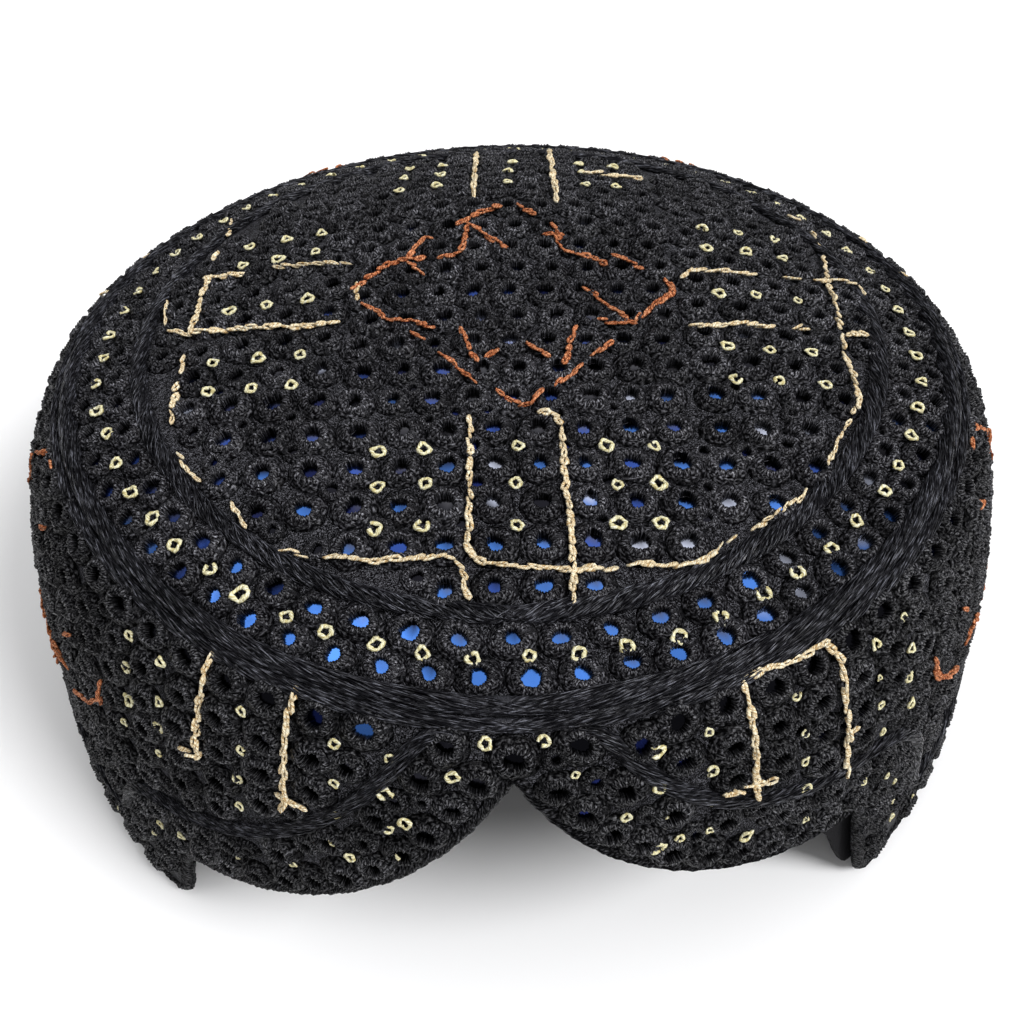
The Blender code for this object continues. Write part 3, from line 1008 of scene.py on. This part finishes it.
def chain(line, pile, width=1.0):
    """Chain stitches along a line of azimuths and profile lengths, each a little askew."""
    base = SURFACE.place(line[:, 0], line[:, 1])
    length = run_length(base)
    count = max(1, int(round(length[-1] / LINK_LENGTH)))
    middles = (np.arange(count) + 0.5 + RNG.uniform(-0.2, 0.2, count)) * length[-1] / count
    azimuth, at = read_line(middles, length, line).T
    origin = SURFACE.place(azimuth, at)
    normal = SURFACE.axes(azimuth, at)[2]
    lift = np.array([pile.at(point) for point in origin]) + 0.2
    origin = origin + normal * lift[:, None]
    along = read_line(middles, length, np.gradient(base, axis=0))
    along += RNG.normal(0.0, 0.14, along.shape) * np.linalg.norm(along, axis=1)[:, None]
    x_axis = unit(along - (along * normal).sum(1)[:, None] * normal)
    flat = np.cross(normal, x_axis)
    origin = origin + flat * RNG.normal(0.0, 0.11, count)[:, None]
    roll = RNG.normal(0.0, 0.4, count)[:, None]
    y_axis = flat * np.cos(roll) + normal * np.sin(roll)
    upward = normal * np.cos(roll) - flat * np.sin(roll)
    scale = width * np.clip(RNG.normal(1.0, 0.22, count), 0.65, 1.45)
    size = np.stack([np.ones(count), scale, np.ones(count)], axis=1)
    return stamp(LINKS, origin, x_axis, y_axis, upward, size)


# A star's lines, in pitches from its middle: one arm, turned to the four sides
STAR_ARM = (
    ((-1.25, 2.75), (-0.6, 3.3), (0.0, 3.9), (0.6, 3.3), (1.25, 2.75)),
    ((-1.2, 2.7), (-0.75, 2.2), (0.0, 1.6), (0.75, 2.2), (1.2, 2.7)),
    ((-1.2, 2.7), (-1.25, 1.45), (-1.45, 1.25), (-2.7, 1.2)),
)
# The front stars' upper arm and the arm towards the opening, where little thread still shows
WORN_ARMS = (
    ((-4.15, 0.6), (-4.1, -0.2), (-3.75, -0.65), (-3.3, -1.25), (-2.8, -1.6)),
    ((-2.85, 0.8), (-2.5, 0.3)),
    ((-2.4, -1.3), (-1.5, -1.3), (-1.25, -1.9)),
    ((-1.3, 2.5), (-1.1, 2.6), (-0.85, 2.25)),
    ((-0.35, 3.6), (-0.1, 3.7)),
    ((0.4, 3.6), (0.85, 3.1)),
)
# The crown's star as it was worked: lines that stop short here and there
CROWN_STAR = (
    ((-0.2, 3.45), (-0.6, 3.3), (-1.0, 3.1), (-1.4, 2.6)),
    ((-1.15, 2.7), (-0.55, 2.05), (-0.1, 1.6)),
    ((-1.15, 2.65), (-1.25, 1.55), (-1.9, 1.25)),
    ((-2.15, 1.35), (-2.95, 1.25), (-3.45, 0.75), (-3.75, 0.35), (-3.95, 0.1)),
    ((-2.65, 1.3), (-2.25, 2.2)),
    ((-2.4, 2.2), (-2.0, 2.15)),
    ((-2.6, 1.15), (-2.2, 0.55)),
    ((-3.7, -0.3), (-3.0, -1.05), (-2.55, -1.0), (-1.9, -1.35)),
    ((-2.45, -1.4), (-2.15, -1.75)),
    ((-1.8, -2.15), (-0.85, -3.2)),
    ((-1.3, -1.3), (-1.05, -2.1), (-0.85, -2.55)),
    ((-0.7, -2.35), (-0.35, -2.1)),
    ((-0.45, -3.4), (0.05, -3.85), (0.25, -3.9), (0.65, -3.45)),
    ((0.25, -1.85), (0.8, -2.35)),
    ((1.5, -1.3), (1.3, -1.95), (1.15, -2.7)),
    ((0.9, -3.3), (1.55, -2.7)),
    ((1.8, -2.35), (2.3, -1.9)),
    ((1.7, 0.1), (2.55, -0.95), (2.8, -1.3), (3.3, -0.75), (3.95, -0.05), (3.7, 0.4)),
    ((1.95, -1.15), (2.7, -1.3)),
    ((0.15, 3.55), (0.65, 3.0)),
    ((0.8, 2.2), (1.35, 2.2)),
    ((1.05, 2.6), (1.25, 1.55), (1.9, 1.2), (2.4, 0.9)),
    ((2.5, 1.3), (3.25, 0.75)),
)
# The crown's cream lines as they were worked
CROWN_CREAM = (
    ((-4.0, -7.7), (-3.0, -7.85), (-1.9, -7.85), (-1.5, -7.8), (-1.2, -8.0), (-1.1, -8.4), (-1.05, -8.8)),
    ((-1.05, -4.15), (-1.0, -6.5), (-1.05, -7.5), (-0.95, -7.85), (-0.75, -8.0), (1.0, -8.15), (1.95, -8.15)),
    ((0.5, -4.1), (0.85, -4.15), (1.0, -4.6), (1.05, -6.5), (1.1, -8.0), (1.05, -8.9)),
    ((2.15, -8.05), (2.5, -8.0), (3.15, -8.05), (3.65, -8.0), (4.0, -7.7)),
    ((-3.85, 0.5), (-3.8, -0.3)),
    ((-6.85, 1.5), (-7.3, 1.55), (-7.8, 1.6), (-8.0, 1.55)),
    ((-4.2, -0.95), (-5.3, -1.0), (-6.5, -0.9), (-7.85, -0.75)),
    ((-7.85, 1.8), (-7.85, 0.95), (-7.9, 0.05), (-7.95, -0.85)),
    ((-7.85, -2.55), (-7.85, -3.4)),
    ((4.15, 0.35), (4.35, 0.7), (5.1, 0.95), (6.15, 0.95)),
    ((4.15, -1.35), (4.75, -1.3), (5.3, -1.15), (6.3, -1.15)),
    ((7.75, 1.1), (8.15, 1.2), (8.85, 1.2)),
    ((8.35, 2.65), (8.1, 1.4), (8.05, 0.2), (7.95, -1.0)),
    ((8.7, -1.0), (8.1, -1.05), (7.85, -1.5), (7.85, -2.3), (7.9, -3.0), (7.85, -3.5), (7.55, -4.05)),
    ((-1.0, 3.9), (-1.0, 6.4), (-1.0, 8.75)),
    ((1.2, 3.7), (1.2, 6.4), (1.2, 8.75)),
    ((1.95, 6.05), (3.7, 5.8)),
)
# Where they are worn thin
CROWN_WORN = (
    ((-4.95, -7.4), (-4.65, -7.5), (-4.3, -7.75)),
    ((-6.15, -6.2), (-5.65, -6.9)),
    ((-7.5, -4.75), (-7.15, -5.3), (-6.85, -5.6)),
    ((-7.85, -3.45), (-7.75, -3.9)),
    ((-7.9, -1.6), (-7.85, -2.3)),
    ((-7.85, -0.75), (-8.5, -0.6)),
    ((-8.7, -0.1), (-8.8, 0.85)),
    ((-4.1, 1.2), (-4.95, 1.4), (-6.1, 1.55)),
    ((-7.9, 3.15), (-7.9, 2.5)),
    ((-8.0, 5.45), (-7.85, 4.05)),
    ((6.9, 1.05), (7.3, 1.0)),
    ((9.0, 1.25), (9.0, 0.8)),
    ((6.65, -1.2), (7.15, -1.15)),
    ((7.8, 5.0), (8.1, 4.6)),
    ((8.3, 4.0), (8.35, 3.05)),
    ((7.55, -4.05), (7.15, -4.7), (6.7, -5.5)),
    ((6.2, -6.1), (5.95, -6.4), (5.35, -6.8), (4.8, -7.25)),
    ((4.5, -7.35), (4.0, -7.65)),
)


def star_lines(quarters):
    return [rotated(part, quarter * math.pi / 2.0) for quarter in quarters for part in STAR_ARM]


def band_star(centre):
    if centre == STAR_CENTRES[0]:
        return list(WORN_ARMS) + star_lines((2, 3))
    return star_lines((0, 1, 2, 3))


def finer(line):
    """A charted line, rounded at its corners."""
    return smooth(walk(np.asarray(line, float), 0.05), 9)


def crown_line(line):
    azimuth, at = crown_spots(finer(line) * PITCH)
    azimuth = np.degrees(np.unwrap(np.radians(azimuth)))
    return np.stack([azimuth, at], axis=1)


def band_line(line, centre, side):
    """A charted line on the band, in columns from a motif's middle and rows above the star's."""
    points = finer(line)
    azimuth = MOTIF_SHIFT + side * (centre + points[:, 0] * COLUMN_STEP)
    at = SURFACE.rim + STAR_ROW - points[:, 1] * ROW_PITCH
    return np.stack([azimuth, np.maximum(at, SURFACE.rim + 2.0)], axis=1)


# Cream lines of the band's arm motifs: columns from the middle, rows above the star's row
BAND_CREAM = (
    ((-1.0, 3.9), (-1.0, 0.75), (-1.45, 0.75)),
    ((1.0, 3.9), (1.0, 0.55)),
    ((0.7, 0.85), (1.5, 0.75)),
)
FRONT_LEFT_CREAM = (
    ((0.95, 3.9), (0.95, 0.9), (1.45, 0.9)),
    ((-1.0, 3.9), (-1.0, 0.6)),
    ((-0.75, 1.0), (-1.5, 0.85)),
)
FRONT_RIGHT_CREAM = (
    ((-1.1, 3.8), (-1.1, 0.6)),
    ((-1.1, 3.85), (-0.1, 3.75), (0.9, 3.7), (1.05, 3.2), (1.05, -0.5)),
    ((-1.8, 1.15), (-0.7, 1.0)),
    ((1.05, 1.0), (1.35, 1.0)),
)


def band_cream(side, centre):
    if centre != CREAM_CENTRES[0]:
        return BAND_CREAM
    return FRONT_LEFT_CREAM if side < 0.0 else FRONT_RIGHT_CREAM


def make_chains(pile):
    cream, rust = [], []
    charts = ((CROWN_CREAM, cream, 1.0), (CROWN_WORN, cream, 0.55), (CROWN_STAR, rust, 0.9))
    for lines, chains, width in charts:
        for line in lines:
            chains.append(chain(crown_line(line), pile, width))
    for side in SIDES:
        for centre in CREAM_CENTRES:
            for line in band_cream(side, centre):
                cream.append(chain(band_line(line, centre, side), pile))
        for centre in STAR_CENTRES:
            for line in band_star(centre):
                rust.append(chain(band_line(line, centre, side), pile, 0.9))
    make_piece("cream_chain_stitch", merged(cream), CHAIN, "cream_thread")
    make_piece("rust_chain_stitch", merged(rust), RUST, "rust_thread")


# Where the loops sit in a cream motif: columns from its middle, and rows
RING_COLUMNS = (-3.0, -2.0, 0.0, 2.0, 3.0)
CROWN_RING_ROWS = (5.05, 6.05, 7.05)
BAND_RING_ROWS = (8.0, 14.3, 20.4, 26.4)


def loop_spots():
    """The crown's loops, those of its border, the band's, and last those of the hem's border."""
    motif = [(x, y) for x in RING_COLUMNS for y in CROWN_RING_ROWS]
    motifs = [rotated(motif, -quarter * math.pi / 2.0) for quarter in range(4)]
    crown = crown_spots(np.vstack(motifs) * PITCH)
    around = (np.arange(BORDER_LOOPS) + 0.3) * 360.0 / BORDER_LOOPS
    border = around, np.full(BORDER_LOOPS, SURFACE.at_radius(BORDER_LOOP_RADIUS))
    band = [
        (MOTIF_SHIFT + side * (centre + x * COLUMN_STEP), SURFACE.rim + row)
        for side in SIDES for centre in CREAM_CENTRES for x in RING_COLUMNS for row in BAND_RING_ROWS
    ]
    hem = apart(*border_runs(HEM_LOOP_ROW, HEM_LOOP_PITCH), HEM_LOOP_CLEARANCE)
    azimuth, at = np.concatenate([crown, border, np.transpose(band), hem], axis=1)
    return azimuth, at, np.arange(len(at)) >= len(at) - len(hem[0])


def make_loops():
    """Cream thread loops, in the gaps between four eyelets."""
    azimuth, at, at_hem = loop_spots()
    on_band = at > SURFACE.rim
    size = np.where(on_band, RNG.uniform(0.65, 1.0, len(at)), 1.0)
    small = at_hem & (np.abs(azimuth) > FRONT_AZIMUTH)
    size = size * np.where(small, RNG.uniform(0.5, 0.95, len(at)), 1.0)
    lift = np.where(on_band, RNG.uniform(0.6, 1.05, len(at)), 1.0)
    spots = Spots(azimuth, at, 0.25, lift, size, 0.1)
    x_axis, y_axis = spots.turned(RNG.uniform(0.0, math.tau, len(at)))
    data = stamp(LOOPS, spots.origin, x_axis, y_axis, spots.normal, spots.size)
    make_piece("cream_loops", data, CREAM, "cream_thread")


def make_embroidery():
    medallion = Spots(*crown_spots(medallion_points()))
    border = Spots(*crown_border_spots())
    band = Spots(*band_spots())
    rows = np.hstack([border_runs(row, PITCH) for row in HEM_EYELET_ROWS])
    hem = Spots(*apart(*rows, HEM_EYELET_CLEARANCE))
    reach = np.sqrt(RNG.uniform(0.0, 1.0, CROWN_FILLER_TRIES)) * (INNER_RING_RADIUS - FILLER_EDGE)
    turn = RNG.uniform(-180.0, 180.0, CROWN_FILLER_TRIES)
    corners = filler_spots(turn, SURFACE.at_radius(reach), (medallion,))
    turn = RNG.uniform(-180.0, 180.0, BAND_FILLER_TRIES)
    first, last = FILLER_ROWS
    level = RNG.uniform(SURFACE.rim + first, SURFACE.rim + last, BAND_FILLER_TRIES)
    inner = hem_distance(turn, level)
    in_border = (inner > FILLER_EDGE) & (inner < BORDER_WIDTH - FILLER_TO_BORDER)
    inside = (inner > BORDER_WIDTH + FILLER_TO_BORDER) | in_border
    gaps = filler_spots(turn[inside], level[inside], (band, hem))
    left, right = band.where(band.azimuth < 0.0), band.where(band.azimuth >= 0.0)
    # Piece, spots, thread, size across and along
    for piece in (
        ("crown_filler_eyelets", corners, BLACK, 1.0, 1.0),
        ("band_filler_eyelets", gaps, BLACK_BAND_PAINTED_SHADE, 1.0, 1.0),
        ("crown_eyelets", medallion, BLACK, 1.0, 1.0),
        ("crown_border_eyelets", border, BLACK, 1.0, 0.9),
        ("band_eyelets_left", left, BLACK_BAND_PAINTED_SHADE, 1.06, 0.97),
        ("band_eyelets_right", right, BLACK_BAND_PAINTED_SHADE, 1.06, 0.97),
        ("hem_border_eyelets", hem, BLACK_BAND_PAINTED_SHADE, 1.0, 0.95),
    ):
        make_eyelets(*piece)
    # The mirrors' colours are painted reflections; the back part of each crown mirror also gets painted shade
    # from the hole's far wall
    shown = (("crown_mirrors", medallion, 0.45), ("crown_border_mirrors", border, 0.55))
    for name, spots, threshold in shown:
        painted_far_wall = mix_painted_reflections(len(spots.azimuth), (PAINTED_WALL_GREY, SHADE, PAINTED_PALE), (6, 4, 1))
        make_mirrors(name, spots, crown_painted_reflections(spots, threshold), 0.05, painted_far_wall)
    for name, spots, choices, weights in (
        ("band_mirrors", band, (SHADE, PAINTED_NAVY, PAINTED_SKY), (12, 3, 1)),
        ("hem_border_mirrors", hem, (SHADE, PAINTED_NAVY), (12, 2)),
        ("crown_filler_mirrors", corners, (PAINTED_NAVY, SHADE), (1, 2)),
        ("band_filler_mirrors", gaps, (PAINTED_NAVY, SHADE), (1, 5)),
    ):
        make_mirrors(name, spots, mix_painted_reflections(len(spots.azimuth), choices, weights), 0.08)
    make_chains(PileHeight((medallion, border, band, hem, corners, gaps)))
    make_loops()


def dress_lining():
    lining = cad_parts["lining"]
    lining.data.materials.clear()
    lining.data.materials.append(LINING)


# Camera and studio

FOCAL_PIXELS = 1099.0
IMAGE_PIXELS = 1024.0
SENSOR = 36.0
# From the crown's top: in mm aside, and in radii of the rim back and above
CAMERA_ASIDE = 0.95
CAMERA_BACK = 1.912
CAMERA_ABOVE = 1.610
LOOK_DOWN = 51.3
PAN = -0.36
ROLL = -1.04
FLOOR_SIDE = 6.0
FLOOR_COLOUR = (0.92, 0.92, 0.93, 1.0)
ROOM_STRENGTH = 0.36


def make_camera():
    data = bpy.data.cameras.new("photo_camera")
    data.sensor_width = SENSOR
    data.lens = FOCAL_PIXELS / IMAGE_PIXELS * SENSOR
    data.clip_start = 0.01
    camera = bpy.data.objects.new("photo_camera", data)
    bpy.context.scene.collection.objects.link(camera)
    pitch, pan, roll = (math.radians(value) for value in (LOOK_DOWN, PAN, ROLL))
    forward = np.array([math.sin(pan) * math.cos(pitch), math.cos(pan) * math.cos(pitch), -math.sin(pitch)])
    right = np.array([math.cos(pan), -math.sin(pan), 0.0])
    up = np.cross(right, forward)
    tilted_right = right * math.cos(roll) + up * math.sin(roll)
    tilted_up = up * math.cos(roll) - right * math.sin(roll)
    rotation = Matrix((tilted_right, tilted_up, -forward)).transposed().to_4x4()
    top = PROFILE[0][1]
    place = (CAMERA_ASIDE * MM, -CAMERA_BACK * RIM_RADIUS * MM, (top + CAMERA_ABOVE * RIM_RADIUS) * MM)
    camera.matrix_world = Matrix.Translation(place) @ rotation
    bpy.context.scene.camera = camera


def make_floor():
    bpy.ops.mesh.primitive_plane_add(size=FLOOR_SIDE, location=(0.0, 0.0, 0.0))
    floor = bpy.context.active_object
    floor.name = "pale_floor"
    shading = Shading("pale_floor")
    shading.shader.inputs["Base Color"].default_value = FLOOR_COLOUR
    shading.shader.inputs["Roughness"].default_value = 0.9
    floor.data.materials.append(shading.material)


# Suns: where they shine from, their strength and how wide they are in degrees
SUNS = (
    ("key_light", (1.0, -0.45, 1.25), 2.9, 24.0),
    ("fill_light", (-0.65, -0.2, 1.2), 0.42, 40.0),
)
PANEL_PLACE = (0.0, 0.22, 1.0)
PANEL_SIDE = 1.1
PANEL_POWER = 3.8


def place_light(data, place):
    light = bpy.data.objects.new(data.name, data)
    bpy.context.scene.collection.objects.link(light)
    light.location = place
    light.rotation_euler = Vector(place).to_track_quat("Z", "Y").to_euler()


def make_lights():
    """A bright panel overhead, which the mirrors show, two soft suns and a dim room."""
    panel = bpy.data.lights.new("sky_panel", "AREA")
    panel.size = PANEL_SIDE
    panel.energy = PANEL_POWER
    place_light(panel, PANEL_PLACE)
    for name, place, strength, width in SUNS:
        sun = bpy.data.lights.new(name, "SUN")
        sun.energy = strength
        sun.angle = math.radians(width)
        place_light(sun, place)
    world = bpy.data.worlds.new("studio")
    world.use_nodes = True
    background = world.node_tree.nodes["Background"]
    background.inputs["Color"].default_value = (1.0, 1.0, 1.0, 1.0)
    background.inputs["Strength"].default_value = ROOM_STRENGTH
    bpy.context.scene.world = world
    bpy.context.scene.view_settings.view_transform = "Standard"


make_camera()
make_floor()
make_lights()
make_cloth()
make_cords()
make_embroidery()
dress_lining()
